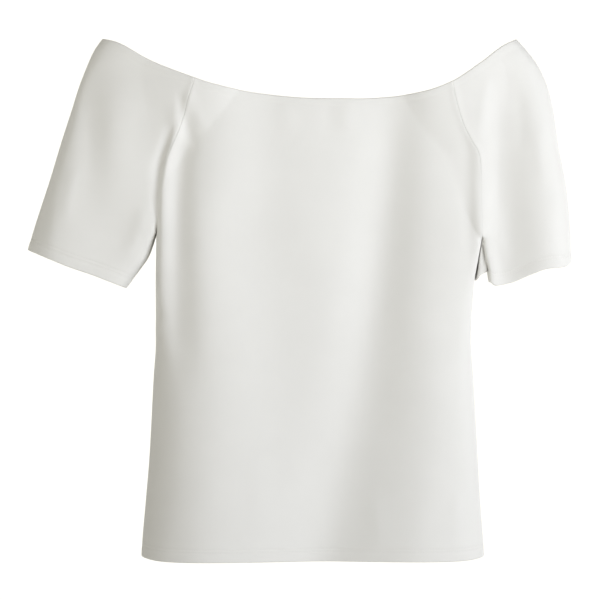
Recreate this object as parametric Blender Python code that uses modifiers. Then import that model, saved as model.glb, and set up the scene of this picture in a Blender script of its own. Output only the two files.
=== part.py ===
# Off-shoulder top in white double knit, filled out with no wearer.
# Front faces -Y, +X is the right side as seen from the front, +Z is up.
# The origin is the centre of the neck opening, level with the lowest point of the front neckline.
# Lengths are in millimetres up to the last step, where MM turns them into metres.

import math

import bmesh
import bpy
import numpy as np

MM = 0.001

# Cloth
CLOTH = 1.2                 # one layer of the knit
TURNED = 2.4                # two layers, where an edge is turned in
SEAM_GAP = 0.46             # between the outer faces of two pieces at a seam
ARMPIT_CLEARANCE = 1.5      # between the body and a sleeve below the armpit
NECK_TURN = 9.0             # depth of the turned neck edge
CUFF_TURN = 13.0
HEM_TURN = 14.0
TURN_STEP = 1.0             # run over which the wall changes from one layer to two

# Depth of the hollow form on each side of the plane through the side seams
BODY_FRONT = 29.0
SLEEVE_FRONT = 29.0
SLEEVE_BACK = 33.0
BACK_DEPTH = ((70, 50), (0, 54), (-80, 62), (-270, 58), (-400, 66), (-520, 74))   # z, depth
ROUND_LEFT = 2.5            # how squarely a section turns into its left side, 2 being an ellipse
ROUND_RIGHT = 3.0
ROUND_SLEEVE = 2.7
SOFT_BLEND = 3.0            # how crisply body and sleeve meet at the neckline
CRISP_BLEND = 9.0           # and at the armpit, where the crease is deep
NECK_OVERLAP = 62.0         # how far body and sleeve forms run into each other at the neckline
OVERLAP_GROWTH = 1.5
BACK_NECK_DROP = 5.0        # the back neckline lies this much lower, so it is hidden from the front
NECK_HALF_WIDTH = 225.0
TIP_SHARE = 3               # the drop dies out over the last third towards each tip

# Outline seen from the front: x and z along each edge, from the top down
NECKLINE = (
    (-234.0, 68.5), (-220, 64.5), (-180.3, 42.6), (-144.5, 28.0), (-108.6, 15.7), (-60, 6.0),
    (0, 0.8), (50, 0.4), (85, 2.4), (124, 8.6), (151.2, 18.0), (187, 41.4), (212, 60.5), (226, 68.0),
)
SIDE_LEFT = (
    (-174.7, -150.0), (-175.8, -215), (-175.8, -268), (-178.4, -310),
    (-183.2, -400), (-187.2, -448), (-191.6, -500), (-192.4, -516),
)
SIDE_RIGHT = (
    (188.2, -156.0), (184.2, -178), (180.4, -200), (178.6, -220), (176.2, -262), (179.4, -313),
    (182.8, -370), (187.2, -448), (191.0, -500), (191.8, -516),
)
ARMHOLE_LEFT = (
    (-131.5, 23.1), (-139.5, -3.5), (-145, -24.5), (-157, -53), (-164, -69), (-170, -85),
    (-173.5, -112), (-174.7, -150.0),
)
ARMHOLE_RIGHT = (
    (154.5, 19.5), (160.5, -8), (167, -28), (177, -48), (183, -58), (186.0, -70), (187.0, -100),
    (188.2, -156.0),
)
OUTER_LEFT = (
    (-235.5, 68.5), (-244.5, 56), (-254.5, 34), (-263.2, 11), (-270, -11), (-281, -45),
    (-294.6, -90), (-309, -134), (-319.5, -168), (-334, -214),
)
OUTER_RIGHT = (
    (227.5, 68.0), (238.5, 56), (254.2, 34), (263.6, 11), (268.8, -11), (275.4, -56),
    (282.2, -90), (286.5, -125), (288.6, -160), (289.4, -182), (289.6, -210),
)
UNDERARM_LEFT = ((-174.7, -150.0), (-182.6, -174), (-195, -192.5), (-208.6, -211))
UNDERARM_RIGHT = ((188.2, -156.0), (184.2, -178), (180.8, -202))
CUFF_LEFT = ((-319.5, -168), (-299, -176.4), (-272, -187.2), (-245.3, -196.4), (-208.6, -211))
CUFF_RIGHT = (
    (289.4, -182), (281.2, -187), (261, -189.4), (240.8, -196.5), (220.6, -204.8), (203.5, -208.0),
    (196.5, -204.5),
)
CUFF_LEFT_BACK = ((-319.5, -168), (-272, -183), (-232, -195), (-208.6, -211))
CUFF_RIGHT_BACK = ((289.4, -182), (240, -182), (200, -189), (180.8, -202))
HEM_LEVEL = -515.5
HEM_CORNER = 5.0            # how much the hem rises at the side seams
HEM_HALF_WIDTH = 192.0
HEM_SHARPNESS = 14          # how late that rise begins
NECK_HOLD = 0.97            # share of the neckline's curve that is left below the turned neck edge

# The right sleeve folds over its own underarm: its front edge lies further out than its back layer
SLEEVE_FOLD = ((188.2, -156), (191.0, -174), (194.9, -191.5), (196.0, -208))
INNER_LAYER_HEM = ((196.0, -191.5), (187.5, -196.0), (180.8, -202))
INNER_LAYER_DEPTH = 4.0     # how far that back layer still stands in front of the side seams
INNER_LAYER_SHARES = (1, 0.6, 0)
LEAST_FOLD = 2.0

# Folds: z, x, height outwards, spread to the left, spread to the right. A trough has a minus height.
FRONT_FOLDS = {
    "left ridge": ((30, -108, 12, 52, 32), (-60, -107, 17, 60, 34), (-515, -105, 18, 62, 34)),
    "drifting trough": (
        (-5, 88, -5, 24, 20), (-67, 84, -9, 22, 20), (-224, 66, -9, 24, 22), (-336, 49, -9, 27, 26),
        (-420, 29, -9, 30, 28), (-515, 8, -9, 26, 26),
    ),
    "right ridge": (
        (0, 138, 2, 26, 40), (-224, 134, 5, 28, 40), (-336, 142, 10, 34, 44), (-515, 122, 13, 38, 48),
    ),
    "centre swell": (
        (0, -14, 2, 26, 30), (-110, -12, 5, 34, 34), (-250, 4, 2, 34, 30), (-330, 10, 0, 30, 30),
    ),
    "armpit ridge, left": (
        (10, -153, 0, 9, 9), (-60, -160, 5, 9, 9), (-150, -163, 6, 9, 9), (-240, -166, 0, 9, 9),
    ),
    "armpit trough, left": (
        (10, -132, 0, 11, 11), (-60, -143, -6, 10, 10), (-150, -144, -6, 12, 11),
        (-260, -140, 0, 14, 14),
    ),
    "armpit crease, left": (
        (-36, -150, 0, 6, 6), (-66, -164, -6, 6, 6), (-96, -171, -8, 7, 6), (-128, -174, -6, 6, 6),
        (-150, -175, 0, 6, 6),
    ),
    "outer ridge, left sleeve": (
        (50, -238, 0, 14, 14), (-10, -250, 3, 14, 12), (-80, -266, 3, 15, 14), (-180, -282, 4, 18, 16),
    ),
    "slant trough, left sleeve": (
        (45, -226, 0, 10, 10), (-5, -238, -4, 11, 10), (-70, -235, -5, 12, 11),
        (-175, -248, -1, 18, 16),
    ),
    "inner ridge, left sleeve": (
        (30, -205, 0, 14, 14), (-45, -216, 4, 15, 16), (-190, -222, 1, 20, 20),
    ),
    "inner ridge, right sleeve": (
        (10, 180, 0, 10, 14), (-60, 190, 6, 10, 15), (-130, 192, 8, 9, 16), (-205, 209, 6, 9, 18),
    ),
    "trough, right sleeve": ((30, 212, 0, 14, 14), (-60, 226, -4, 16, 18), (-200, 236, -4, 18, 18)),
    "outer ridge, right sleeve": ((40, 236, 0, 12, 12), (-50, 262, 3, 16, 12), (-190, 268, 3, 18, 14)),
}
BACK_FOLDS = {
    "left trough": (
        (30, -70, -3, 26, 30), (-120, -84, -11, 30, 34), (-330, -96, -12, 34, 40),
        (-515, -112, -10, 30, 40),
    ),
    "middle ridge": ((20, 12, 1, 30, 30), (-200, 22, 6, 40, 34), (-515, 34, 9, 42, 36)),
    "right trough": (
        (20, 104, -2, 24, 22), (-160, 96, -9, 26, 26), (-380, 104, -13, 30, 28),
        (-515, 112, -12, 34, 26),
    ),
    "shoulder trough, left": ((40, -196, 0, 14, 14), (-60, -226, -5, 15, 15), (-200, -260, -4, 16, 18)),
    "ridge, left sleeve": ((20, -226, 0, 14, 14), (-90, -258, 3, 14, 14), (-200, -284, 4, 14, 14)),
    "shoulder trough, right": ((40, 206, 0, 14, 14), (-70, 230, -6, 16, 14), (-205, 240, -4, 16, 16)),
    "armpit ridge, right": ((0, 158, 0, 10, 10), (-90, 162, 5, 10, 10), (-210, 160, 0, 12, 12)),
}
FOLD_REACH = 22.0           # a fold dies out where the form is shallower than this, towards a side

# Rows of each piece, as shares of its edge
SEAM_ROWS = (0.0, 0.15, 0.26, 0.36, 0.45, 0.53, 0.61, 0.69, 0.77, 0.85, 0.91, 0.95, 0.98, 1.0)
ARMPIT_ROW = len(SEAM_ROWS) + 1
BODY_ROWS = (0.045, 0.11, 0.19, 0.28, 0.37, 0.46, 0.55, 0.64, 0.73, 0.80, 0.87, 0.94)
UNDERARM_ROWS = (0.15, 0.35, 0.57, 0.80)
BODY_COLUMNS = 28
SLEEVE_COLUMNS = 13         # on each half, front and back
LEAD_OPEN = 0.4             # a column is added this far towards the next one beside an open seam
LEAD_CLOSED = 0.02          # and this far where the form turns round a side, to set the seam's direction
LEAD_DEPTH = 0.35
DENSER_SIDES = 0.25
KNIT_COLOUR = (0.82, 0.81, 0.78, 1.0)
KNIT_ROUGHNESS = 0.85
WELD = 0.00001              # metres


def along(knots, values, at):
    """A smooth curve through a few values that never overshoots them, straight beyond its ends."""
    knots = np.asarray(knots, float)
    values = np.asarray(values, float)
    if knots[0] > knots[-1]:
        knots, values = knots[::-1], values[::-1]
    at = np.asarray(at, float)
    width = np.diff(knots)
    slope = np.diff(values) / width
    tangent = np.concatenate([slope[:1], np.zeros(len(slope) - 1), slope[-1:]])
    for i in range(1, len(slope)):
        before, after = slope[i - 1], slope[i]
        if before * after > 0:
            tangent[i] = 2 * before * after / (before + after)
    i = np.clip(np.searchsorted(knots, at) - 1, 0, len(slope) - 1)
    free = (at - knots[i]) / width[i]
    t = np.clip(free, 0, 1)
    curve = (
        values[i] * (1 + 2 * t) * (1 - t) ** 2
        + values[i + 1] * t * t * (3 - 2 * t)
        + width[i] * t * (1 - t) * (tangent[i] * (1 - t) - tangent[i + 1] * t)
    )
    end = np.where(free < 0, tangent[i], tangent[i + 1])
    return curve + (free - t) * width[i] * end


def x_at(edge, z):
    """Where an edge of the outline lies at height z."""
    return along([p[1] for p in edge], [p[0] for p in edge], z)


def z_at(edge, x):
    return along([p[0] for p in edge], [p[1] for p in edge], x)


def smooth_step(t):
    t = np.clip(t, 0, 1)
    return t * t * (3 - 2 * t)


def lobe(x, left, right, depth, round_left, round_right):
    """Depth of a rounded section: nothing at its two ends and outside them."""
    across = np.clip((2 * x - left - right) / np.maximum(right - left, 1e-6), -1, 1)
    power = np.where(across < 0, round_left, round_right)
    return depth * np.maximum(1 - np.abs(across) ** power, 0) ** (1 / power)


def overlap(armhole, z):
    """How far the forms of body and sleeve run into each other, from nothing at the armpit."""
    top, armpit = armhole[0][1], armhole[-1][1]
    return NECK_OVERLAP * np.clip((z - armpit) / (top - armpit), 0, 1) ** OVERLAP_GROWTH


def fold_height(folds, x, z):
    total = np.zeros(np.broadcast(x, z).shape)
    for stations in folds.values():
        heights = [row[0] for row in stations]
        held = np.clip(z, heights[-1], heights[0])
        middle, rise, left, right = (
            along(heights, [row[column] for row in stations], held) for column in (1, 2, 3, 4)
        )
        spread = np.where(x < middle, left, right)
        total = total + rise * np.exp(-0.5 * ((x - middle) / spread) ** 2)
    return total


def form_depth(x, z, body, sleeve, folds, inner_right):
    """Depth of the whole form at (x, z), body and sleeves blended, with its folds."""
    above_left = z > ARMHOLE_LEFT[-1][1]
    above_right = z > ARMHOLE_RIGHT[-1][1]
    grow_left = overlap(ARMHOLE_LEFT, z)
    grow_right = overlap(ARMHOLE_RIGHT, z)
    seam_left = np.where(above_left, x_at(ARMHOLE_LEFT, z), x_at(SIDE_LEFT, z))
    seam_right = np.where(above_right, x_at(ARMHOLE_RIGHT, z), x_at(SIDE_RIGHT, z))
    under_left = np.where(above_left, x_at(ARMHOLE_LEFT, z), x_at(UNDERARM_LEFT, z) - ARMPIT_CLEARANCE)
    under_right = np.where(above_right, x_at(ARMHOLE_RIGHT, z), inner_right(z))
    trunk = lobe(x, seam_left - grow_left, seam_right + grow_right, body, ROUND_LEFT, ROUND_RIGHT)
    left = lobe(x, x_at(OUTER_LEFT, z), under_left + grow_left, sleeve, ROUND_SLEEVE, ROUND_SLEEVE)
    right = lobe(x, under_right - grow_right, x_at(OUTER_RIGHT, z), sleeve, ROUND_SLEEVE, ROUND_SLEEVE)
    softness = smooth_step((z - ARMHOLE_LEFT[-1][1]) / (ARMHOLE_LEFT[0][1] - ARMHOLE_LEFT[-1][1]))
    blend = CRISP_BLEND + (SOFT_BLEND - CRISP_BLEND) * softness
    plain = (trunk**blend + left**blend + right**blend) ** (1 / blend)
    return plain + fold_height(folds, x, z) * smooth_step(plain / FOLD_REACH)


def sleeve_inner(z):
    return x_at(UNDERARM_RIGHT, z) + ARMPIT_CLEARANCE


def fold_edge(z):
    """Where the front layer of the right sleeve turns back, out from its underarm."""
    return np.maximum(x_at(SLEEVE_FOLD, z), sleeve_inner(z) + LEAST_FOLD)


def front_depth(x, z):
    return form_depth(x, z, BODY_FRONT, SLEEVE_FRONT, FRONT_FOLDS, fold_edge)


def back_depth(x, z):
    depth = along([row[0] for row in BACK_DEPTH], [row[1] for row in BACK_DEPTH], z)
    return form_depth(x, z, depth, SLEEVE_BACK, BACK_FOLDS, sleeve_inner)


def neck_height(x, drop):
    """Height of the neckline, the back one lower by the drop, which dies out towards the two tips."""
    inside = np.clip(1 - np.abs(x) / NECK_HALF_WIDTH, 0, 1)
    return z_at(NECKLINE, x) - drop * smooth_step(inside * TIP_SHARE)


def hem_height(x):
    return HEM_LEVEL + HEM_CORNER * np.abs(np.clip(x / HEM_HALF_WIDTH, -1, 1)) ** HEM_SHARPNESS


def column_shares(count):
    """Shares across a rounded section, close together where it turns into its sides."""
    turns = []
    for i in range(count + 1):
        t = i / count
        turns.append(math.pi * (t + DENSER_SIDES * math.sin(2 * math.pi * t) / (2 * math.pi)))
    return np.array([(1 - math.cos(turn)) / 2 for turn in turns])


def pull(target, line):
    """How far a row moves to reach its curve, without moving its two ends."""
    move = target - line
    share = np.linspace(0, 1, len(move))
    return move - move[0] * (1 - share) - move[-1] * share


def edge_lead(values, armpit_row, at_start):
    """The grid with one more column beside its first or last one."""
    edge, following = (0, 1) if at_start else (-1, -2)
    share = np.where(np.arange(len(values)) < armpit_row, LEAD_OPEN, LEAD_CLOSED)
    lead = values[:, edge] * (1 - share) + values[:, following] * share
    return np.insert(values, 1 if at_start else values.shape[1] - 1, lead, axis=1)


def close_sides(depth, armpit_row, at_start):
    """Brings the form to nothing at an edge that is sewn to its other side below the armpit."""
    edge, lead, following = (0, 1, 2) if at_start else (-1, -2, -3)
    depth[armpit_row:, edge] = 0
    depth[armpit_row:, lead] = LEAD_DEPTH * depth[armpit_row:, following]


def seam_levels(armhole, drop):
    """Heights down an armhole seam, with two close rows where the neck edge ends."""
    top = armhole[0][1] - drop
    armpit = armhole[-1][1]
    levels = [top + (armpit - top) * share for share in SEAM_ROWS]
    levels[1:1] = [top - NECK_TURN, top - NECK_TURN - TURN_STEP]
    return levels


def body_grid(drop):
    """x, z and layer count over a body panel, from the neckline down to the hem."""
    rows = []
    for armhole, side, inward in (
        (ARMHOLE_LEFT, SIDE_LEFT, 1),
        (ARMHOLE_RIGHT, SIDE_RIGHT, -1),
    ):
        upper = seam_levels(armhole, drop)
        bottom = HEM_LEVEL + HEM_CORNER
        turn = bottom + HEM_TURN
        lower = [upper[-1] + (turn - upper[-1]) * share for share in BODY_ROWS]
        lower += [turn + TURN_STEP, turn, bottom]
        edge = [(float(x_at(armhole, z)) + inward * SEAM_GAP / 2, z) for z in upper]
        edge += [(float(x_at(side, z)), z) for z in lower]
        rows.append(edge)
    left, right = np.array(rows[0]), np.array(rows[1])
    shares = column_shares(BODY_COLUMNS)
    x = left[:, :1] * (1 - shares) + right[:, :1] * shares
    z = left[:, 1:] * (1 - shares) + right[:, 1:] * shares
    hem_row = len(left) - 3
    neck_pull = pull(neck_height(x[0], drop), z[0])
    hem_pull = pull(hem_height(x[-1]), z[-1])
    for row in range(len(left)):
        fall = np.interp(left[row, 1], (left[hem_row, 1], left[2, 1], left[0, 1]), (0, NECK_HOLD, 1))
        if row >= hem_row:
            z[row] = z[row] + hem_pull
        else:
            z[row] = z[row] + neck_pull * fall + hem_pull * (row / hem_row) ** 4
    for at_start in (True, False):
        x = edge_lead(x, ARMPIT_ROW, at_start)
        z = edge_lead(z, ARMPIT_ROW, at_start)
    return x, z, turned_rows(len(left))


def turned_rows(count):
    """One where the cloth is double, at the neck edge and at the hem or cuff."""
    turned = np.zeros(count)
    turned[[0, 1, -2, -1]] = 1
    return turned


def sleeve_grid(side, cuff, drop, folded):
    """x, z and layer count over half a sleeve, from its outer fold to its armhole and underarm."""
    outer, armhole, under, away = side
    end = under[-1][1]
    turn = end + CUFF_TURN
    upper = seam_levels(armhole, drop)
    lower = [upper[-1] + (turn - upper[-1]) * share for share in UNDERARM_ROWS]
    lower += [turn + TURN_STEP, turn, end]
    inner = [(float(x_at(armhole, z)) + away * SEAM_GAP / 2, z) for z in upper]
    inner += [(float(x_at(under, z)) + away * ARMPIT_CLEARANCE, z) for z in lower]
    inner = np.array(inner)
    levels = np.array(seam_levels(armhole, 0) + lower)
    down = (levels[0] - levels) / (levels[0] - end)
    outer_z = outer[0][1] + (cuff[0][1] - outer[0][1]) * down
    outer_x = x_at(outer, outer_z)
    shares = np.tile(column_shares(SLEEVE_COLUMNS), (len(inner), 1))
    if folded:
        turn_x = np.where(levels < armhole[-1][1], fold_edge(levels), inner[:, 0] + LEAST_FOLD)
        shares = shares * ((turn_x - outer_x) / (inner[:, 0] - outer_x))[:, None]
        shares = np.hstack([shares, (1 + shares[:, -1:]) / 2, np.ones((len(inner), 1))])
    x = outer_x[:, None] * (1 - shares) + inner[:, :1] * shares
    z = outer_z[:, None] * (1 - shares) + inner[:, 1:] * shares
    neck_pull = pull(neck_height(x[0], drop), z[0])
    cuff_pull = pull(z_at(cuff, x[-1]), z[-1])
    if folded:
        cuff_pull = z_at(cuff, x[-1]) - z[-1]
        cuff_pull[-3:-1] = z_at(INNER_LAYER_HEM, x[-1, -3:-1]) - z[-1, -3:-1]
        cuff_pull[-1] = 0
    cuff_share = np.tile(down[:, None] ** 3, (1, x.shape[1]))
    if folded:
        below = (down - down[ARMPIT_ROW]) / (1 - down[ARMPIT_ROW])
        cuff_share[:, -3:] = np.clip(below, 0, 1)[:, None]
    z = z + neck_pull * (1 - down[:, None]) ** 2 + cuff_pull * cuff_share
    if not folded:
        x = edge_lead(x, ARMPIT_ROW, False)
        z = edge_lead(z, ARMPIT_ROW, False)
    return x, z, turned_rows(len(inner))


def sewn_sheet(name, points, turned, collection, colour):
    """A cloth wall on a grid of outer points, rows from the top down, columns anticlockwise from above."""
    rows, columns = len(points), len(points[0])
    mesh = bpy.data.meshes.new(name)
    sheet = bmesh.new()
    bmesh.ops.create_grid(sheet, x_segments=columns - 1, y_segments=rows - 1, size=1)
    layer = sheet.verts.layers.deform.verify()
    for vertex in sheet.verts:
        column = round((vertex.co.x + 1) / 2 * (columns - 1))
        row = rows - 1 - round((vertex.co.y + 1) / 2 * (rows - 1))
        vertex.co = points[row][column]
        vertex[layer][0] = turned[row]
    bmesh.ops.remove_doubles(sheet, verts=sheet.verts, dist=WELD)
    sheet.to_mesh(mesh)
    sheet.free()
    mesh.shade_smooth()
    piece = bpy.data.objects.new(name, mesh)
    piece.vertex_groups.new(name="turned edge")
    wall = piece.modifiers.new("cloth", "SOLIDIFY")
    wall.thickness = TURNED * MM
    wall.offset = -1
    wall.vertex_group = "turned edge"
    wall.thickness_vertex_group = CLOTH / TURNED
    knit = bpy.data.materials.new(name + " knit")
    knit.use_nodes = True
    shader = knit.node_tree.nodes["Principled BSDF"]
    shader.inputs["Base Color"].default_value = colour
    shader.inputs["Roughness"].default_value = KNIT_ROUGHNESS
    shader.inputs["Metallic"].default_value = 0.0
    mesh.materials.append(knit)
    collection.objects.link(piece)
    return piece


def body_panel(name, drop, depth_at, facing, collection):
    x, z, turned = body_grid(drop)
    depth = depth_at(x, z)
    for at_start in (True, False):
        close_sides(depth, ARMPIT_ROW, at_start)
    y = facing * (depth + SEAM_GAP / 2)
    points = np.stack([x, y, z], axis=-1) * MM
    if facing > 0:
        points = points[:, ::-1]
    return sewn_sheet(name, points, turned, collection, KNIT_COLOUR)


def sleeve(name, side, cuffs, collection):
    halves = []
    for cuff, drop, depth_at, facing in (
        (cuffs[0], 0, front_depth, -1),
        (cuffs[1], BACK_NECK_DROP, back_depth, 1),
    ):
        folded = side[3] > 0 and facing < 0
        x, z, turned = sleeve_grid(side, cuff, drop, folded)
        depth = depth_at(x, z)
        depth[:, 0] = 0
        if folded:
            depth[ARMPIT_ROW:, -3:] = INNER_LAYER_DEPTH * np.array(INNER_LAYER_SHARES)
        else:
            close_sides(depth, ARMPIT_ROW, False)
        halves.append(np.stack([x, facing * depth, z], axis=-1) * MM)
    front, back = halves
    if side[3] < 0:
        points = np.concatenate([back[:, :0:-1], front], axis=1)
    else:
        points = np.concatenate([front[:, :0:-1], back], axis=1)
    return sewn_sheet(name, points, turned, collection, KNIT_COLOUR)


def main():
    for item in list(bpy.data.objects):
        bpy.data.objects.remove(item, do_unlink=True)
    top = bpy.data.collections.new("off-shoulder top")
    bpy.context.scene.collection.children.link(top)
    body_panel("front_panel", 0, front_depth, -1, top)
    body_panel("back_panel", BACK_NECK_DROP, back_depth, 1, top)
    left = (OUTER_LEFT, ARMHOLE_LEFT, UNDERARM_LEFT, -1)
    right = (OUTER_RIGHT, ARMHOLE_RIGHT, UNDERARM_RIGHT, 1)
    sleeve("sleeve_left", left, (CUFF_LEFT, CUFF_LEFT_BACK), top)
    sleeve("sleeve_right", right, (CUFF_RIGHT, CUFF_RIGHT_BACK), top)


main()
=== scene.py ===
# Off-shoulder top in thick white double knit, filled out with no wearer.
# Front faces -Y, +X is the right side seen from the front, +Z is up.
# The cloth is worked out in millimetres; flat sizes and the studio are in metres.

import math

import bmesh
import bpy
import numpy as np
from mathutils import Matrix, Vector


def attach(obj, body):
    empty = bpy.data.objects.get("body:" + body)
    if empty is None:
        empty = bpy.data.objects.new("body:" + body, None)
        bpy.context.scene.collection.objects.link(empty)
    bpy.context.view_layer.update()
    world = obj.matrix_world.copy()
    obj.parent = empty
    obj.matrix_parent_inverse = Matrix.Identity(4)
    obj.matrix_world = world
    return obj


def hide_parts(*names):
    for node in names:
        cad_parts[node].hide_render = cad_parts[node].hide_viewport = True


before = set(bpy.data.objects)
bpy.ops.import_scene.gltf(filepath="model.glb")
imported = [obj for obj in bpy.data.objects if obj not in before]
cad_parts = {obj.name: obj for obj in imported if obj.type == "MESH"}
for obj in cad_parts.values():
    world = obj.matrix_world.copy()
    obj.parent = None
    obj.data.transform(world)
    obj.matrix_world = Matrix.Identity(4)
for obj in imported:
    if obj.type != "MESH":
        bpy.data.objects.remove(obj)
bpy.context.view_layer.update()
mm = 0.001
weld = 0.01 * mm        # points closer than this are one

# Outline of the whole form, seen from the front: x and z down each edge
outline = {
    "neckline": (
        (-234.0, 68.5), (-220, 64.5), (-180.3, 42.6), (-144.5, 28.0), (-108.6, 15.7), (-60, 6.0), (0, 0.8),
        (50, 0.4), (85, 2.4), (124, 8.6), (151.2, 18.0), (187, 41.4), (212, 60.5), (226, 68.0),
    ),
    "sideLeft": (
        (-174.7, -150.0), (-175.8, -215), (-175.8, -268), (-178.4, -310),
        (-183.2, -400), (-187.2, -448), (-191.6, -500), (-192.4, -516),
    ),
    "sideRight": (
        (188.2, -156.0), (184.2, -178), (180.4, -200), (178.6, -220), (176.2, -262), (179.4, -313),
        (182.8, -370), (187.2, -448), (191.0, -500), (191.8, -516),
    ),
    "armholeLeft": (
        (-131.5, 23.1), (-139.5, -3.5), (-145, -24.5), (-157, -53), (-164, -69), (-170, -85),
        (-173.5, -112), (-174.7, -150.0),
    ),
    "armholeRight": (
        (154.5, 19.5), (160.5, -8), (167, -28), (177, -48), (183, -58), (186.0, -70), (187.0, -100),
        (188.2, -156.0),
    ),
    "outerLeft": (
        (-235.5, 68.5), (-244.5, 56), (-254.5, 34), (-263.2, 11), (-270, -11), (-281, -45),
        (-294.6, -90), (-309, -134), (-319.5, -168), (-334, -214),
    ),
    "outerRight": (
        (227.5, 68.0), (238.5, 56), (254.2, 34), (263.6, 11), (268.8, -11), (275.4, -56),
        (282.2, -90), (286.5, -125), (288.6, -160), (289.4, -182), (289.6, -210),
    ),
    "underarmLeft": ((-174.7, -150.0), (-182.6, -174), (-195, -192.5), (-208.6, -211)),
    "underarmRight": ((188.2, -156.0), (184.2, -178), (180.8, -202)),
    "cuffLeft": ((-319.5, -168), (-299, -176.4), (-272, -187.2), (-245.3, -196.4), (-208.6, -211)),
    "cuffLeftBack": ((-319.5, -168), (-272, -183), (-232, -195), (-208.6, -211)),
    "cuffRight": (
        (289.4, -182), (281.2, -187), (261, -189.4), (240.8, -196.5), (220.6, -204.8), (203.5, -208.0),
        (196.5, -204.5),
    ),
    "cuffRightBack": ((289.4, -182), (240, -182), (200, -189), (180.8, -202)),
    "foldRight": ((188.2, -156), (191.0, -174), (194.9, -191.5), (196.0, -208)),
    "innerLayerHem": ((196.0, -191.5), (187.5, -196.0), (180.8, -202)),
    "neckHalfWidth": 225.0,
    "neckDropRate": 3.0,    # the back neckline has its full drop from a third of the way in from each tip
    "hemLevel": -515.5,
    "hemHalfWidth": 192.0,
    "hemCorner": 5.0,       # rise of the hem at the side seams
    "hemSharpness": 14,
}

# Depth of the hollow form each side of the side seams. A section's squareness is the power of its curve.
form = {
    "bodyFront": 29.0,
    "sleeveFront": 29.0,
    "sleeveBack": 33.0,
    "bodyBack": ((70, 50), (0, 54), (-80, 62), (-270, 58), (-400, 66), (-520, 74)),     # z, depth
    "roundLeft": (          # z, squareness
        (20, 2.6), (-60, 3.6), (-150, 8), (-200, 6), (-250, 3.7), (-310, 2.7), (-400, 2.6), (-520, 3.1),
    ),
    "roundRight": (
        (20, 3), (-60, 3), (-110, 4.5), (-154, 12), (-170, 20), (-200, 13), (-235, 7), (-280, 4.4),
        (-345, 3.4), (-520, 3),
    ),
    "roundSleeve": 2.7,
    "roundInnerLeft": ((20, 2.7), (-60, 2.7), (-110, 4), (-145, 7), (-170, 4), (-215, 3)),
    "roundInnerRight": ((20, 2.7), (-60, 2.7), (-110, 4), (-150, 8), (-215, 12)),  # squarer against the body
    "softBlend": 3.0,       # body and sleeves run softly into each other at the neck
    "crispBlend": 9.0,      # and meet in a crease at the armpits
    "neckOverlap": 62.0,
    "overlapGrowth": {"armholeLeft": 1.5, "armholeRight": 0.7},
    "backNeckDrop": 5.0,
    "armpitClearance": 0.5,     # between a sleeve's underarm and the body
    "foldReach": 22.0,      # folds die away where the form is shallower than this
    "leastFold": 1.0,       # the right sleeve's fold stands at least this far off its underarm
    "foldEdgeRun": 1.0,
    "innerLayerDepth": 23.0,        # the underarm layer that shows behind the right sleeve's fold
    "innerLayerSquareness": 20,
    "neckHold": 0.97,       # share of the neckline's curve that is left under the turned edge
    "neckEase": 2,          # how fast the curves of the neck, hem and cuff die away up or down the cloth
    "hemEase": 4,
    "cuffEase": 3,
}

# How the cloth is made up
cloth = {
    "turnedIn": 2.4,        # two layers of knit; one layer is half of it
    "seamGap": 0.14,
    "neckTurn": 9.0,
    "cuffTurn": 13.0,
    "hemTurn": 14.0,
    "turnStep": 1.0,
    "leastEdge": 0.12,      # share of the wall that is left at the lip of a rounded edge
    "neckLineDip": 0.16,    # the end of the neck turn shows as a faint line
    "neckLineRun": 1.1,
    "neckLineUp": 1.0,
    "endSwell": 0.12,       # the turned hem and cuffs are a little plump, and so is the neck edge
    "endSwellShare": 0.45,
    "endSwellRun": 3.0,
    "neckSwell": 0.1,
    "neckSwellAt": 4.0,
    "neckSwellRun": 2.2,
    "seamRidge": 0.8,       # the seam allowances underneath lift the cloth
    "seamRidgeSpread": 3.2,
    "seamDip": 0.3,         # and the two pieces dip to the seam line
    "seamDipRun": 0.7,
    "seamHidden": -95.0,    # below this height the armhole seam is lost in the fold under the arm
    "seamFade": 40.0,
    "noSeam": 1000.0,       # a distance too far off for a seam to show
    "stitchDip": 0.28,      # a row of stitches pulls the cloth in
    "stitchDipRun": 0.8,
}

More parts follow.
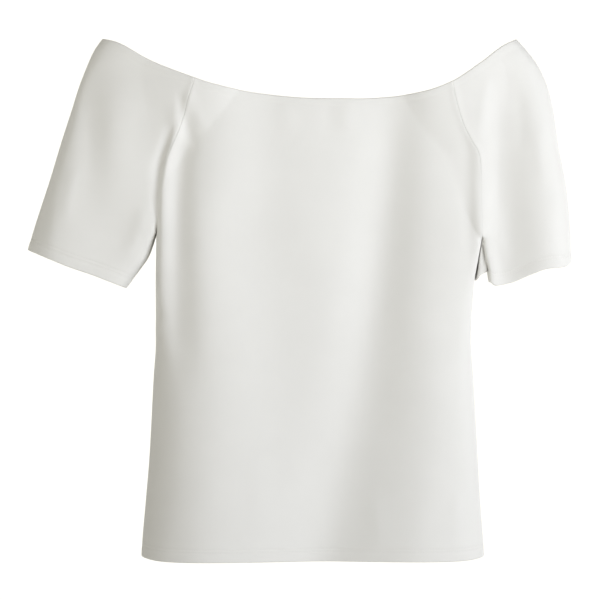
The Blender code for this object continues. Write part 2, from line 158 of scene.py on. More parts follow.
# Folds: z, x, height outwards, spread to the left, spread to the right. A trough has a minus height.
frontFolds = {
    "left ridge": (
        (30, -108, 12, 52, 32), (-60, -111, 17, 58, 36), (-160, -122, 19.5, 44, 40), (-300, -122, 22, 50, 48),
        (-515, -127, 26, 46, 58),
    ),
    "drifting trough": (
        (-5, 88, -6, 24, 20), (-67, 84, -10, 22, 21), (-224, 68, -12, 24, 24), (-336, 52, -11.5, 27, 28),
        (-420, 32, -10.5, 30, 30), (-515, 10, -10, 28, 28),
    ),
    "right ridge": (
        (0, 138, 2, 26, 40), (-224, 134, 5, 28, 40), (-336, 142, 10, 34, 44), (-515, 122, 13, 38, 48),
    ),
    "centre swell": (
        (0, -14, 2, 26, 30), (-110, -12, 5, 34, 34), (-250, 4, 2, 34, 30), (-330, 10, 0, 30, 30),
    ),
    "armpit ridge left": (
        (0, -150, 0, 6, 9), (-40, -154, 4, 5, 8), (-67, -160, 5.5, 4.5, 8), (-110, -167, 5.5, 4, 8),
        (-150, -168, 4.5, 4, 9), (-240, -169, 1, 6, 12), (-300, -168, 0, 6, 13),
    ),
    "armpit trough left": (
        (0, -136, 0, 9, 10), (-40, -143, -5, 8, 10), (-80, -150, -7, 9, 11), (-150, -151, -7, 10, 12),
        (-215, -150, -7, 11, 14), (-330, -146, 0, 13, 14),
    ),
    "armpit crease left": (
        (-22, -155, 0, 5, 4), (-40, -160, -2.5, 5, 3.5), (-54, -164, -3.5, 5, 3.5), (-67, -169, -4, 5, 3.5),
        (-80, -171.5, -4, 5, 3), (-94, -173.5, -2, 4, 3), (-130, -174.5, 0, 4, 3),
    ),
    "outer ridge left sleeve": (
        (50, -246, 0, 10, 10), (-10, -262, 2, 9, 14), (-80, -276, 4, 13, 34), (-180, -288, 7, 16, 44),
    ),
    "slant trough left sleeve": (
        (45, -236, 0, 10, 10), (-5, -251, -3.5, 10, 12), (-70, -246, -3, 11, 14), (-165, -250, 0, 18, 16),
    ),
    "inner ridge left sleeve": ((30, -212, 0, 14, 14), (-45, -220, 4, 16, 18), (-150, -224, 0, 20, 20)),
    "inner ridge right sleeve": (
        (0, 172, 0, 9, 12), (-50, 182, 1, 8, 12), (-100, 185, 2, 8, 12), (-150, 188, 3, 7, 12),
        (-205, 200, 2, 7, 12),
    ),
    "right armpit trough": (
        (-30, 164, 0, 7, 6), (-70, 173, -1.4, 7, 5), (-130, 174, -1.4, 7, 5), (-175, 173, -0.8, 7, 5),
        (-210, 172, 0, 7, 6),
    ),
    "trough right sleeve": (
        (40, 206, 0, 12, 18), (-10, 210, -4.5, 12, 20), (-60, 209, -6, 12, 22), (-150, 208, -8, 12, 22),
        (-205, 214, -7, 10, 22),
    ),
    "outer ridge right sleeve": ((40, 238, 0, 14, 12), (-50, 265, 5, 28, 12), (-190, 272, 6, 32, 12)),
}
backFolds = {
    "left trough": (
        (30, -70, -3, 26, 30), (-120, -84, -11, 30, 34), (-330, -96, -12, 34, 40), (-515, -112, -10, 30, 40),
    ),
    "middle ridge": ((20, 12, 1, 30, 30), (-200, 22, 6, 40, 34), (-515, 34, 9, 42, 36)),
    "right trough": (
        (20, 104, -2, 24, 22), (-160, 96, -9, 26, 26), (-380, 104, -13, 30, 28), (-515, 112, -12, 34, 26),
    ),
    "shoulder trough left": ((40, -196, 0, 14, 14), (-60, -226, -5, 15, 15), (-200, -260, -4, 16, 18)),
    "ridge left sleeve": ((20, -226, 0, 14, 14), (-90, -258, 3, 14, 14), (-200, -284, 4, 14, 14)),
    "shoulder trough right": ((40, 206, 0, 14, 14), (-70, 230, -6, 16, 14), (-205, 240, -4, 16, 16)),
    "armpit ridge right": ((0, 158, 0, 10, 10), (-90, 162, 5, 10, 10), (-210, 160, 0, 12, 12)),
}


def along(knots, values, at):
    # a smooth curve through a few values that never overshoots them
    knots, values, at = (np.asarray(item, float) for item in (knots, values, at))
    if knots[0] > knots[-1]:
        knots, values = knots[::-1], values[::-1]
    width = np.diff(knots)
    slope = np.diff(values) / width
    tangent = np.concatenate([slope[:1], np.zeros(len(slope) - 1), slope[-1:]])
    for i in range(1, len(slope)):
        before, after = slope[i - 1], slope[i]
        if before * after > 0:
            tangent[i] = 2 * before * after / (before + after)
    i = np.clip(np.searchsorted(knots, at) - 1, 0, len(slope) - 1)
    free = (at - knots[i]) / width[i]
    t = np.clip(free, 0, 1)
    curve = values[i] * (1 + 2 * t) * (1 - t) ** 2 + values[i + 1] * t * t * (3 - 2 * t)
    curve = curve + width[i] * t * (1 - t) * (tangent[i] * (1 - t) - tangent[i + 1] * t)
    return curve + (free - t) * width[i] * np.where(free < 0, tangent[i], tangent[i + 1])


def xAt(edge, z):
    return along([p[1] for p in outline[edge]], [p[0] for p in outline[edge]], z)


def zAt(edge, x):
    return along([p[0] for p in outline[edge]], [p[1] for p in outline[edge]], x)


def smoothStep(t):
    t = np.clip(t, 0, 1)
    return t * t * (3 - 2 * t)


def bell(distance, spread):
    return np.exp(-0.5 * (distance / spread) ** 2)


def lobe(x, left, right, depth, roundLeft, roundRight):
    across = np.clip((2 * x - left - right) / np.maximum(right - left, 1e-6), -1, 1)
    power = np.where(across < 0, roundLeft, roundRight)
    return depth * np.maximum(1 - np.abs(across) ** power, 0) ** (1 / power)


def overlap(armhole, z):
    top, armpit = outline[armhole][0][1], outline[armhole][-1][1]
    height = np.clip((z - armpit) / (top - armpit), 0, 1)
    return form["neckOverlap"] * height ** form["overlapGrowth"][armhole]


def foldHeight(folds, x, z):
    total = np.zeros(np.broadcast(x, z).shape)
    for stations in folds.values():
        heights = [row[0] for row in stations]
        held = np.clip(z, heights[-1], heights[0])
        middle, rise, left, right = (along(heights, [row[k] for row in stations], held) for k in (1, 2, 3, 4))
        total = total + rise * bell(x - middle, np.where(x < middle, left, right))
    return total


def sleeveInner(z):
    return xAt("underarmRight", z) + form["armpitClearance"]


def foldEdge(z):
    return np.maximum(xAt("foldRight", z), sleeveInner(z) + form["leastFold"])


def atHeight(stations, z):
    heights = [row[0] for row in stations]
    return along(heights, [row[1] for row in stations], np.clip(z, heights[-1], heights[0]))


def formDepth(x, z, body, sleeve, folds, innerRight):
    # body and sleeves are rounded sections that run into each other above the armpit
    armpitLeft, armpitRight = outline["armholeLeft"][-1][1], outline["armholeRight"][-1][1]
    growLeft, growRight = overlap("armholeLeft", z), overlap("armholeRight", z)
    seamLeft = np.where(z > armpitLeft, xAt("armholeLeft", z), xAt("sideLeft", z))
    seamRight = np.where(z > armpitRight, xAt("armholeRight", z), xAt("sideRight", z))
    clear = form["armpitClearance"]
    underLeft = np.where(z > armpitLeft, xAt("armholeLeft", z), xAt("underarmLeft", z) - clear)
    underRight = np.where(z > armpitRight, xAt("armholeRight", z), innerRight(z))
    turn = form["roundSleeve"]
    roundLeft, roundRight = atHeight(form["roundLeft"], z), atHeight(form["roundRight"], z)
    squareLeft, squareRight = atHeight(form["roundInnerLeft"], z), atHeight(form["roundInnerRight"], z)
    trunk = lobe(x, seamLeft - growLeft, seamRight + growRight, body, roundLeft, roundRight)
    left = lobe(x, xAt("outerLeft", z), underLeft + growLeft, sleeve, turn, squareLeft)
    right = lobe(x, underRight - growRight, xAt("outerRight", z), sleeve, squareRight, turn)
    softness = smoothStep((z - armpitLeft) / (outline["armholeLeft"][0][1] - armpitLeft))
    blend = form["crispBlend"] + (form["softBlend"] - form["crispBlend"]) * softness
    plain = (trunk**blend + left**blend + right**blend) ** (1 / blend)
    return plain + foldHeight(folds, x, z) * smoothStep(plain / form["foldReach"])


def frontDepth(x, z):
    return formDepth(x, z, form["bodyFront"], form["sleeveFront"], frontFolds, foldEdge)


def backDepth(x, z):
    return formDepth(x, z, atHeight(form["bodyBack"], z), form["sleeveBack"], backFolds, sleeveInner)


def neckHeight(x, drop):
    inside = np.clip(1 - np.abs(x) / outline["neckHalfWidth"], 0, 1)
    return zAt("neckline", x) - drop * smoothStep(inside * outline["neckDropRate"])


def hemHeight(x):
    across = np.abs(np.clip(x / outline["hemHalfWidth"], -1, 1))
    return outline["hemLevel"] + outline["hemCorner"] * across ** outline["hemSharpness"]


def pull(target, line):
    move = target - line
    share = np.linspace(0, 1, len(move))
    return move - move[0] * (1 - share) - move[-1] * share


def crowdedShares(count, crowding):
    # shares across a section, closer together where it turns into its sides
    t = np.linspace(0, 1, count)
    return (1 - crowding) * t + crowding * (1 - np.cos(math.pi * t)) / 2


# Rows of each grid: distances in from the neck edge and from the hem or cuff edge, and counts for the rest
rows = {
    "neck": (0, 0.1, 0.35, 0.7, 1.2, 2.2, 3.6, 5, 6.4, 7.4, 8.2, 9.0, 9.8, 11),
    "hem": (0, 0.1, 0.35, 0.7, 1.2, 2.4, 4, 6, 8, 9.6, 10.4, 11.2, 12, 12.9, 13.7, 14.4, 15.2, 17),
    "armhole": 62,
    "body": 92,
    "underarm": 18,
    "bodyColumns": 150,
    "sleeveColumns": 62,
    "innerLayerColumns": 8,
    "crowding": 0.9,
}


def seamLevels(armhole, drop):
    top = outline[armhole][0][1] - drop
    armpit = outline[armhole][-1][1]
    neck = [top - run for run in rows["neck"]]
    return neck + list(np.linspace(neck[-1], armpit, rows["armhole"])[1:])


armpitRow = len(rows["neck"]) + rows["armhole"] - 2


def bodyGrid(drop):
    # x and z over a body panel, from the neckline down to the hem
    edges = []
    for armhole, side, inward in (("armholeLeft", "sideLeft", 1), ("armholeRight", "sideRight", -1)):
        upper = seamLevels(armhole, drop)
        bottom = outline["hemLevel"] + outline["hemCorner"]
        hem = [bottom + run for run in reversed(rows["hem"])]
        lower = list(np.linspace(upper[-1], hem[0], rows["body"])[1:-1]) + hem
        edge = [(float(xAt(armhole, z)) + inward * cloth["seamGap"] / 2, z) for z in upper]
        edges.append(np.array(edge + [(float(xAt(side, z)), z) for z in lower]))
    left, right = edges
    shares = crowdedShares(rows["bodyColumns"], rows["crowding"])
    x = left[:, :1] * (1 - shares) + right[:, :1] * shares
    z = left[:, 1:] * (1 - shares) + right[:, 1:] * shares
    neckPull = pull(neckHeight(x[0], drop), z[0])
    hemPull = pull(hemHeight(x[-1]), z[-1])
    top, bottom = left[0, 1], left[-1, 1]
    levels = (bottom + cloth["hemTurn"], top - cloth["neckTurn"], top)
    neckFall = np.interp(left[:, 1], levels, (0, form["neckHold"], 1))
    hemFall = np.clip((top - left[:, 1]) / (top - bottom - cloth["hemTurn"]), 0, 1) ** form["hemEase"]
    return x, z + neckPull * neckFall[:, None] + hemPull * hemFall[:, None]


def sleeveGrid(side, cuff, drop, folded):
    # x and z over half a sleeve, from its outer fold to its armhole and underarm
    outer, armhole, under, away = side
    end = outline[under][-1][1]
    upper = seamLevels(armhole, drop)
    cuffRows = [end + run for run in reversed(rows["hem"])]
    lower = list(np.linspace(upper[-1], cuffRows[0], rows["underarm"])[1:-1]) + cuffRows
    inner = [(float(xAt(armhole, z)) + away * cloth["seamGap"] / 2, z) for z in upper]
    inner = np.array(inner + [(float(xAt(under, z)) + away * form["armpitClearance"], z) for z in lower])
    levels = np.array(seamLevels(armhole, 0) + lower)
    down = (levels[0] - levels) / (levels[0] - end)
    outerZ = outline[outer][0][1] + (outline[cuff][0][1] - outline[outer][0][1]) * down
    outerX = xAt(outer, outerZ)
    shares = np.tile(crowdedShares(rows["sleeveColumns"], rows["crowding"]), (len(inner), 1))
    if folded:
        turn = np.where(levels < outline[armhole][-1][1], foldEdge(levels), inner[:, 0] + form["leastFold"])
        shares = shares * ((turn - outerX) / (inner[:, 0] - outerX))[:, None]
        strip = np.linspace(0, 1, rows["innerLayerColumns"] + 1)[1:]
        shares = np.hstack([shares, shares[:, -1:] * (1 - strip) + strip])
    x = outerX[:, None] * (1 - shares) + inner[:, :1] * shares
    z = outerZ[:, None] * (1 - shares) + inner[:, 1:] * shares
    neckPull = pull(neckHeight(x[0], drop), z[0])
    cuffPull = pull(zAt(cuff, x[-1]), z[-1])
    if folded:
        inside = rows["innerLayerColumns"]
        cuffPull = zAt(cuff, x[-1]) - z[-1]
        cuffPull[-inside:] = zAt("innerLayerHem", x[-1, -inside:]) - z[-1, -inside:]
        cuffPull[-1] = 0
    cuffShare = np.tile(down[:, None] ** form["cuffEase"], (1, x.shape[1]))
    if folded:
        below = (down - down[armpitRow]) / (1 - down[armpitRow])
        cuffShare[:, -inside:] = np.clip(below, 0, 1)[:, None]
    z = z + neckPull * (1 - down[:, None]) ** form["neckEase"] + cuffPull * cuffShare
    return x, z


def gridNormals(points):
    across = np.gradient(points, axis=1)
    down = np.gradient(points, axis=0)
    normal = np.cross(down, across)
    return normal / np.maximum(np.linalg.norm(normal, axis=2, keepdims=True), 1e-9)


def edgeRound(distance, radius):
    # how far a rounded edge falls back, and what is left of its thickness
    inside = np.clip(radius - distance, 0, radius)
    left = np.sqrt(radius**2 - inside**2)
    return radius - left, np.maximum(left / radius, cloth["leastEdge"])


def finishRelief(fromNeck, fromEnd, fromSeam, seamShows, turn):
    # sewn edges in millimetres: rounded folds, the dips of two stitch rows, the neck turn and the seam lines,
    # with the share of the wall's thickness that each place has
    radius = cloth["turnedIn"] / 2
    neckBack, neckLeft = edgeRound(fromNeck, radius)
    endBack, endLeft = edgeRound(fromEnd, radius)
    relief = -neckBack - endBack
    for row in stitching["rows"]:
        relief = relief - cloth["stitchDip"] * bell(fromEnd - turn - row, cloth["stitchDipRun"])
    neckLine = cloth["neckTurn"] - cloth["neckLineUp"]
    relief = relief - cloth["neckLineDip"] * bell(fromNeck - neckLine, cloth["neckLineRun"])
    relief = relief + cloth["endSwell"] * bell(fromEnd - turn * cloth["endSwellShare"], cloth["endSwellRun"])
    relief = relief + cloth["neckSwell"] * bell(fromNeck - cloth["neckSwellAt"], cloth["neckSwellRun"])
    relief = relief + cloth["seamRidge"] * bell(fromSeam, cloth["seamRidgeSpread"]) * seamShows
    relief = relief - cloth["seamDip"] * np.exp(-fromSeam / cloth["seamDipRun"]) * seamShows
    step = cloth["turnStep"]
    layers = 1 + smoothStep((cloth["neckTurn"] + step / 2 - fromNeck) / step)
    layers = layers + smoothStep((turn + step / 2 - fromEnd) / step)
    layers = np.minimum(layers, 2)
    return relief, layers / 2 * neckLeft * endLeft


stitching = {
    "rows": (-3.2, 0.0),        # two needles, set from the turned edge
    "pitch": 3.0,
    "length": 2.3,
    "thickness": 0.42,
    "proud": 0.05,
    "midShare": 0.2,            # a stitch's middle is raised by this share of its thickness as well
    "lookAhead": 0.8,           # how far on along the row a stitch takes its direction from
}

# Finer creases: start x and z, end x and z, bow sideways, height, spread. They fade out at both ends,
# faster at the start.
creaseFade = {"start": 3.2, "end": 2.4}
frontCreases = (
    (-150, 14, -128, -62, 4, -1.6, 4.0), (-140, 16, -112, -44, 5, 1.1, 5.0),
    (-30, 4, -26, -46, 2, 0.9, 7.0), (14, 2, 17, -52, -2, -0.9, 7.5), (38, 2, 42, -40, 2, 0.8, 7.0),
    (-176, -240, -150, -300, 5, 0.9, 8.0), (172, -236, 150, -300, -5, 0.9, 8.0),
    (-60, -380, -52, -510, 4, 0.8, 9.0), (66, -430, 72, -512, -3, 0.9, 8.0),
    (160, -430, 166, -512, 3, 0.9, 7.0), (-262, -70, -276, -150, 3, 1.0, 5.0),
    (-186, -110, -214, -190, -4, 1.2, 6.0), (-292, -110, -306, -168, 2, -0.8, 5.0),
    (196, 30, 188, -50, 3, 1.0, 5.0), (226, 20, 232, -70, -3, -1.0, 6.0),
    (252, -20, 262, -110, 4, 1.0, 5.5), (204, -110, 214, -190, 3, 1.1, 6.0),
    (272, -120, 276, -180, -2, -0.9, 5.0),
)
backCreases = (
    (-150, 8, -126, -70, 4, -1.4, 4.5), (-166, -74, -136, -140, -4, 1.6, 5.0),
    (174, -66, 146, -128, 4, 1.6, 5.0), (150, 6, 132, -52, -3, -1.2, 5.0),
    (-36, -8, -30, -64, 2, 0.9, 7.5), (28, -8, 32, -70, -2, -1.0, 8.0),
    (-174, -236, -146, -306, 5, 1.1, 8.0), (174, -232, 148, -310, -5, 1.1, 8.0),
    (0, -300, -12, -440, 6, 0.9, 11.0), (-64, -420, -58, -512, 3, 0.9, 9.0),
    (70, -400, 78, -512, -3, -0.9, 9.0), (152, -436, 160, -512, 3, 0.9, 7.0),
    (-232, 20, -222, -70, 4, -1.3, 5.0), (-264, -60, -280, -150, 3, 1.0, 5.0),
    (-190, -104, -216, -188, -4, 1.1, 6.0), (224, 16, 230, -80, -3, -1.2, 6.0),
    (256, -30, 264, -130, 3, 1.0, 5.5), (196, -100, 206, -180, 3, 1.1, 6.0),
)


def creaseHeight(creases, x, z):
    total = np.zeros(x.shape)
    for startX, startZ, endX, endZ, bow, rise, spread in creases:
        length = math.hypot(endX - startX, endZ - startZ)
        alongX, alongZ = (endX - startX) / length, (endZ - startZ) / length
        t = ((x - startX) * alongX + (z - startZ) * alongZ) / length
        off = (x - startX) * alongZ - (z - startZ) * alongX
        within = np.clip(t, 0, 1)
        off = off - bow * np.sin(math.pi * within)
        fade = smoothStep(within * creaseFade["start"]) * smoothStep((1 - within) * creaseFade["end"])
        total = total + rise * bell(off, spread) * fade
    return total


def clothSheet(name, points, weights, flatAcross):
    # a fine grid of outer points, rows from the top down, given its wall by Solidify
    count, across = points.shape[:2]
    sheet = bmesh.new()
    bmesh.ops.create_grid(sheet, x_segments=across - 1, y_segments=count - 1, size=1)
    layer = sheet.verts.layers.deform.verify()
    places = {}
    for vertex in sheet.verts:
        column = round((vertex.co.x + 1) / 2 * (across - 1))
        row = count - 1 - round((vertex.co.y + 1) / 2 * (count - 1))
        places[vertex] = (row, column)
        vertex.co = points[row, column] * mm
        vertex[layer][0] = weights[row, column]
    grain = sheet.loops.layers.uv.new("grain")
    for face in sheet.faces:
        for loop in face.loops:
            row, column = places[loop.vert]
            loop[grain].uv = (flatAcross[row, column] * mm, points[row, column, 2] * mm)
    bmesh.ops.remove_doubles(sheet, verts=sheet.verts, dist=weld)
    mesh = bpy.data.meshes.new(name)
    sheet.to_mesh(mesh)
    sheet.free()
    mesh.shade_smooth()
    piece = bpy.data.objects.new(name, mesh)
    piece.vertex_groups.new(name="layers")
    wall = piece.modifiers.new("cloth", "SOLIDIFY")
    wall.thickness = cloth["turnedIn"] * mm
    wall.offset = -1
    wall.vertex_group = "layers"
    wall.thickness_vertex_group = 0.0
    bpy.context.scene.collection.objects.link(piece)
    return piece


def acrossLength(points):
    steps = np.linalg.norm(np.diff(points, axis=1), axis=2)
    run = np.concatenate([np.zeros((len(points), 1)), np.cumsum(steps, axis=1)], axis=1)
    return run - run[:, run.shape[1] // 2][:, None]


def bodyPanel(name, drop, depthAt, facing, creases):
    x, z = bodyGrid(drop)
    depth = depthAt(x, z)
    depth[armpitRow:, 0] = 0
    depth[armpitRow:, -1] = 0
    y = facing * (depth + cloth["seamGap"] / 2)
    points = np.stack([x, y, z], axis=-1)
    fromSeam = np.minimum(np.abs(x - x[:, :1]), np.abs(x - x[:, -1:]))
    fromSeam[armpitRow + 1:] = cloth["noSeam"]
    seamShows = smoothStep((z - cloth["seamHidden"]) / cloth["seamFade"])
    relief, weights = finishRelief(z[:1] - z, z - z[-1:], fromSeam, seamShows, cloth["hemTurn"])
    if facing > 0:
        points, relief, weights = points[:, ::-1], relief[:, ::-1], weights[:, ::-1]
    relief = relief + creaseHeight(creases, points[:, :, 0], points[:, :, 2]) * smoothStep(
        np.abs(points[:, :, 1]) / form["foldReach"]
    )
    points = points + gridNormals(points) * relief[:, :, None]
    return clothSheet(name, points, weights, acrossLength(points)), points


def sleeve(name, side, cuffs):
    halves = []
    for cuff, drop, depthAt, facing in (
        (cuffs[0], 0, frontDepth, -1),
        (cuffs[1], form["backNeckDrop"], backDepth, 1),
    ):
        folded = side[3] > 0 and facing < 0
        x, z = sleeveGrid(side, cuff, drop, folded)
        depth = depthAt(x, z)
        depth[:, 0] = 0
        if folded:
            inside = rows["innerLayerColumns"]
            strip = np.linspace(0, 1, inside + 1)
            # the cloth near the fold is at least as deep as the layer behind it, which ends at the underarm
            nearFold = depth[armpitRow:, rows["sleeveColumns"] // 2:-inside - 1]
            leastDepth = form["innerLayerDepth"] * smoothStep(nearFold / form["foldEdgeRun"])
            nearFold[:] = np.maximum(nearFold, leastDepth)
            squareEnd = 1 - strip ** form["innerLayerSquareness"]
            depth[armpitRow:, -inside - 1:] = form["innerLayerDepth"] * squareEnd
        else:
            depth[armpitRow:, -1] = 0
        halves.append((np.stack([x, facing * depth, z], axis=-1), np.abs(x - x[:, -1:])))
    (front, frontSeam), (back, backSeam) = halves
    if side[3] < 0:
        points = np.concatenate([back[:, :0:-1], front], axis=1)
        fromSeam = np.concatenate([backSeam[:, :0:-1], frontSeam], axis=1)
    else:
        points = np.concatenate([front[:, :0:-1], back], axis=1)
        fromSeam = np.concatenate([frontSeam[:, :0:-1], backSeam], axis=1)
    fromSeam[armpitRow + 1:] = cloth["noSeam"]
    z = points[:, :, 2]
    seamShows = smoothStep((z - cloth["seamHidden"]) / cloth["seamFade"])
    relief, weights = finishRelief(z[:1] - z, z - z[-1:], fromSeam, seamShows, cloth["cuffTurn"])
    x, y = points[:, :, 0], points[:, :, 1]
    fine = np.where(y < 0, creaseHeight(frontCreases, x, z), creaseHeight(backCreases, x, z))
    relief = relief + fine * smoothStep(np.abs(y) / form["foldReach"])
    points = points + gridNormals(points) * relief[:, :, None]
    points[armpitRow:, 0] = points[armpitRow:, -1] = (points[armpitRow:, 0] + points[armpitRow:, -1]) / 2
    return clothSheet(name, points, weights, acrossLength(points)), points


def linear(code):
    # an sRGB hex colour turned linear
    parts = [int(code[i:i + 2], 16) / 255 for i in (1, 3, 5)]
    return [c / 12.92 if c <= 0.04045 else ((c + 0.055) / 1.055) ** 2.4 for c in parts] + [1.0]


def addNode(tree, kind, links=(), **settings):
    # adds a node, sets its properties and sockets, and links (socket, from node, from socket)
    node = tree.nodes.new(kind)
    for key, value in settings.items():
        if hasattr(node, key):
            setattr(node, key, value)
        else:
            node.inputs[key.replace("_", " ")].default_value = value
    for socket, source, output in links:
        tree.links.new(source.outputs[output], node.inputs[socket])
    return node


knitLook = {
    "fresh": "#f1f0ec",
    "worn": "#efeeea",
    "freshUpTo": 0.30,      # shares of a soft cloudy pattern where one colour runs into the other
    "wornFrom": 0.72,
    "cloudScale": 22.0,
    "roughness": 0.86,
    "refraction": 1.5,
    "specular": 0.3,
    "sheen": 0.12,
    "sheenRoughness": 0.5,
    "wale": 1.3,            # between ribs, drawn twice as coarse as a real 0.6 mm so that they show close up
    "course": 1.1,
    "waver": 0.6,
    "napScale": 900.0,
    "reliefStrength": 0.22,
    "reliefHeight": 0.25,
}


def waveScale(spacing):
    # a wave texture's scale for a spacing in millimetres
    return math.pi / 10 / (spacing * mm)


def whiteDoubleKnit():
    # polyester double knit, bleached and brushed soft: matt, with a faint nap that catches light at its edges
    knit = bpy.data.materials.new("white_double_knit")
    knit.use_nodes = True
    tree = knit.node_tree
    shader = tree.nodes["Principled BSDF"]
    shader.inputs["Roughness"].default_value = knitLook["roughness"]
    shader.inputs["IOR"].default_value = knitLook["refraction"]
    shader.inputs["Specular IOR Level"].default_value = knitLook["specular"]
    shader.inputs["Sheen Weight"].default_value = knitLook["sheen"]
    shader.inputs["Sheen Roughness"].default_value = knitLook["sheenRoughness"]
    grain = (("Vector", addNode(tree, "ShaderNodeUVMap", uv_map="grain"), "UV"),)
    place = (("Vector", addNode(tree, "ShaderNodeTexCoord"), "Object"),)
    waleScale, courseScale = waveScale(knitLook["wale"]), waveScale(knitLook["course"])
    wales = addNode(tree, "ShaderNodeTexWave", grain, Scale=waleScale, Distortion=knitLook["waver"])
    courses = addNode(tree, "ShaderNodeTexWave", grain, bands_direction="Y", Scale=courseScale)
    both = addNode(tree, "ShaderNodeMath", ((0, wales, "Fac"), (1, courses, "Fac")), operation="MULTIPLY")
    nap = addNode(tree, "ShaderNodeTexNoise", place, Scale=knitLook["napScale"], Detail=3.0)
    relief = addNode(tree, "ShaderNodeMath", ((0, both, 0), (1, nap, "Fac")), operation="ADD")
    bump = addNode(
        tree, "ShaderNodeBump", (("Height", relief, 0),),
        Strength=knitLook["reliefStrength"], Distance=knitLook["reliefHeight"] * mm,
    )
    tree.links.new(bump.outputs["Normal"], shader.inputs["Normal"])
    clouds = addNode(tree, "ShaderNodeTexNoise", place, Scale=knitLook["cloudScale"], Detail=2.0)
    tone = addNode(tree, "ShaderNodeValToRGB", (("Fac", clouds, "Fac"),))
    fresh, worn = tone.color_ramp.elements
    fresh.position, worn.position = knitLook["freshUpTo"], knitLook["wornFrom"]
    fresh.color, worn.color = linear(knitLook["fresh"]), linear(knitLook["worn"])
    tree.links.new(tone.outputs["Color"], shader.inputs["Base Color"])
    return knit


threadLook = {
    "bright": "#f6f5f2",
    "dark": "#e6e4de",
    "roughness": 0.6,
    "refraction": 1.5,
    "twistScale": 1200.0,
}


def sewingThread():
    # spun polyester thread, a touch smoother and brighter than the knit
    thread = bpy.data.materials.new("white_polyester_thread")
    thread.use_nodes = True
    tree = thread.node_tree
    shader = tree.nodes["Principled BSDF"]
    shader.inputs["Roughness"].default_value = threadLook["roughness"]
    shader.inputs["IOR"].default_value = threadLook["refraction"]
    place = (("Vector", addNode(tree, "ShaderNodeTexCoord"), "Object"),)
    twist = addNode(tree, "ShaderNodeTexNoise", place, Scale=threadLook["twistScale"], Detail=1.0)
    tone = addNode(tree, "ShaderNodeValToRGB", (("Fac", twist, "Fac"),))
    dark, bright = tone.color_ramp.elements
    dark.color, bright.color = linear(threadLook["dark"]), linear(threadLook["bright"])
    tree.links.new(tone.outputs["Color"], shader.inputs["Base Color"])
    return thread


def stitchLine(maker, points, distance, fromEnd):
    # short stitches along one row of the cloth, a set distance from the hem, cuff or neck edge
    z = points[:, :, 2]
    gap = z - z[-1:] if fromEnd else z[:1] - z
    spots = []
    normals = gridNormals(points)
    for column in range(points.shape[1]):
        order = np.argsort(gap[:, column])
        run = gap[order, column]
        at = [np.interp(distance, run, points[order, column, k]) for k in range(3)]
        out = [np.interp(distance, run, normals[order, column, k]) for k in range(3)]
        spots.append(at + out)
    # each spot holds a place in its first three columns and the cloth's normal there in the next three
    spots = np.array(spots)
    steps = np.linalg.norm(np.diff(spots[:, :3], axis=0), axis=1)
    run = np.concatenate([[0], np.cumsum(steps)])
    count = int(run[-1] / stitching["pitch"])
    for i in range(count):
        middle = (i + 0.5) * run[-1] / count
        at, out, ahead = (
            np.array([np.interp(middle + step, run, spots[:, k + shift]) for k in range(3)])
            for shift, step in ((0, 0), (3, 0), (0, stitching["lookAhead"]))
        )
        tangent = Vector(ahead - at).normalized()
        normal = Vector(out).normalized()
        side = normal.cross(tangent).normalized()
        turn = Matrix((tangent, side, normal)).transposed().to_4x4()
        thick = stitching["thickness"]
        size = Matrix.Diagonal((stitching["length"] / 2, thick / 2, thick / 2, 1))
        where = Vector(at) + normal * (stitching["proud"] + thick * stitching["midShare"])
        place = Matrix.Translation(where * mm) @ turn @ Matrix.Scale(mm, 4) @ size
        bmesh.ops.create_icosphere(maker, subdivisions=1, radius=1, matrix=place)


def stitchPiece(name, lines):
    maker = bmesh.new()
    for points, distance, fromEnd in lines:
        stitchLine(maker, points, distance, fromEnd)
    mesh = bpy.data.meshes.new(name)
    maker.to_mesh(mesh)
    maker.free()
    mesh.shade_smooth()
    piece = bpy.data.objects.new(name, mesh)
    bpy.context.scene.collection.objects.link(piece)
    return piece


print("cloth: four cut pieces")
frontPanel, frontPoints = bodyPanel("front_cloth", 0, frontDepth, -1, frontCreases)
backPanel, backPoints = bodyPanel("back_cloth", form["backNeckDrop"], backDepth, 1, backCreases)
leftSide = ("outerLeft", "armholeLeft", "underarmLeft", -1)
rightSide = ("outerRight", "armholeRight", "underarmRight", 1)
leftSleeve, leftPoints = sleeve("left_sleeve_cloth", leftSide, ("cuffLeft", "cuffLeftBack"))
rightSleeve, rightPoints = sleeve("right_sleeve_cloth", rightSide, ("cuffRight", "cuffRightBack"))

# Each piece with its node in the frame, its flat width and length, and the area of its cut
knit = whiteDoubleKnit()
for piece, node, flat, area in (
    (frontPanel, "front_panel", (0.46, 0.54), 0.201),
    (backPanel, "back_panel", (0.47, 0.54), 0.2085),
    (leftSleeve, "sleeve_left", (0.31, 0.30), 0.0727),
    (rightSleeve, "sleeve_right", (0.27, 0.29), 0.0593),
):
    piece.data.materials.append(knit)
    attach(piece, "root")
    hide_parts(node)

print("sewing: twin-needle rows")
thread = sewingThread()
for name, grids, turn in (
    ("hem_stitching", (frontPoints, backPoints), cloth["hemTurn"]),
    ("left_cuff_stitching", (leftPoints,), cloth["cuffTurn"]),
    ("right_cuff_stitching", (rightPoints,), cloth["cuffTurn"]),
):
    lines = [(points, turn + row, True) for points in grids for row in stitching["rows"]]
    piece = stitchPiece(name, lines)
    piece.data.materials.append(thread)
    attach(piece, "root")

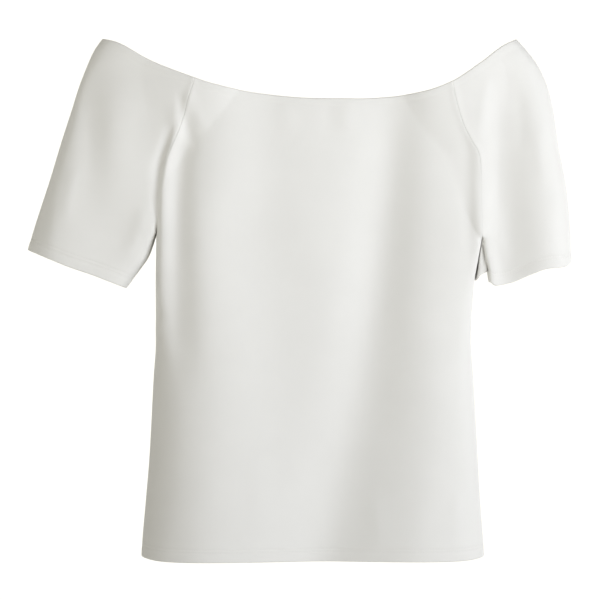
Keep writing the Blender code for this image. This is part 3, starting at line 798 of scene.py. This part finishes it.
print("studio: floor, light and camera")
studio = {
    "centre": (-0.01456, 0.0, -0.224),
    "distance": 4.5,
    "viewWidth": 0.672,
    "sensor": 36.0,
    "floorLevel": -0.80,
    "floorRadius": 2.6,
    "floorGrey": "#e6e4de",
    "floorSides": 96,
    "floorRoughness": 0.95,
    "wallGlow": (1.13, 1.115, 1.045),       # the lit wall all round, at eye level
    "ceilingGlow": (0.13, 0.125, 0.11),
    "wallTop": 0.24,                        # sine of the angle where the lit wall begins to fade
    "wallFade": 0.20,
    "keyAway": 3.0,
    "keySize": 1.6,
    "keyColour": (0.96, 1.0, 1.11),
    # each lamp's watts, then how many degrees round to the right of the front and how many up it stands
    "keys": (("key", 47.0, 45.0, -1.0), ("back_key", 32.0, 148.0, 4.0)),
}

maker = bmesh.new()
bmesh.ops.create_circle(maker, cap_ends=True, segments=studio["floorSides"], radius=studio["floorRadius"])
bmesh.ops.translate(maker, verts=maker.verts, vec=(0, 0, studio["floorLevel"]))
floorMesh = bpy.data.meshes.new("floor")
maker.to_mesh(floorMesh)
maker.free()
floor = bpy.data.objects.new("floor", floorMesh)
bpy.context.scene.collection.objects.link(floor)
floorPaint = bpy.data.materials.new("matt_pale_floor_paint")     # a painted studio floor
floorPaint.use_nodes = True
paint = floorPaint.node_tree.nodes["Principled BSDF"]
paint.inputs["Base Color"].default_value = linear(studio["floorGrey"])
paint.inputs["Roughness"].default_value = studio["floorRoughness"]
floorMesh.materials.append(floorPaint)

world = bpy.data.worlds.new("soft_studio")
world.use_nodes = True
air = world.node_tree
direction = addNode(air, "ShaderNodeTexCoord")
height = addNode(air, "ShaderNodeSeparateXYZ", (("Vector", direction, "Generated"),))
level = addNode(air, "ShaderNodeMath", ((0, height, "Z"),), operation="ABSOLUTE")
fade = addNode(air, "ShaderNodeMapRange", (("Value", level, 0),), interpolation_type="SMOOTHSTEP")
fade.inputs["From Min"].default_value = studio["wallTop"]
fade.inputs["From Max"].default_value = studio["wallTop"] + studio["wallFade"]
glow = addNode(air, "ShaderNodeMix", (("Factor", fade, "Result"),), data_type="RGBA")
# the mix's sockets share their names, so its two colours and its colour result are picked by number
glow.inputs[6].default_value = (*studio["wallGlow"], 1)
glow.inputs[7].default_value = (*studio["ceilingGlow"], 1)
air.links.new(glow.outputs[2], air.nodes["Background"].inputs["Color"])
bpy.context.scene.world = world

for name, power, turn, rise in studio["keys"]:
    key = bpy.data.lights.new(name, "AREA")
    key.energy = power
    key.color = studio["keyColour"]
    key.shape = "SQUARE"
    key.size = studio["keySize"]
    keyLight = bpy.data.objects.new(name, key)
    turn, rise = math.radians(turn), math.radians(rise)
    towards = Vector((math.sin(turn) * math.cos(rise), -math.cos(turn) * math.cos(rise), math.sin(rise)))
    keyLight.location = Vector(studio["centre"]) + towards * studio["keyAway"]
    keyLight.rotation_euler = towards.to_track_quat("Z", "Y").to_euler()
    bpy.context.scene.collection.objects.link(keyLight)

lens = bpy.data.cameras.new("camera")
lens.sensor_width = studio["sensor"]
lens.lens = studio["sensor"] * studio["distance"] / studio["viewWidth"]
camera = bpy.data.objects.new("camera", lens)
camera.location = Vector(studio["centre"]) - Vector((0, studio["distance"], 0))
camera.rotation_euler = (math.pi / 2, 0, 0)
bpy.context.scene.collection.objects.link(camera)
bpy.context.scene.camera = camera
bpy.context.scene.view_settings.view_transform = "Standard"
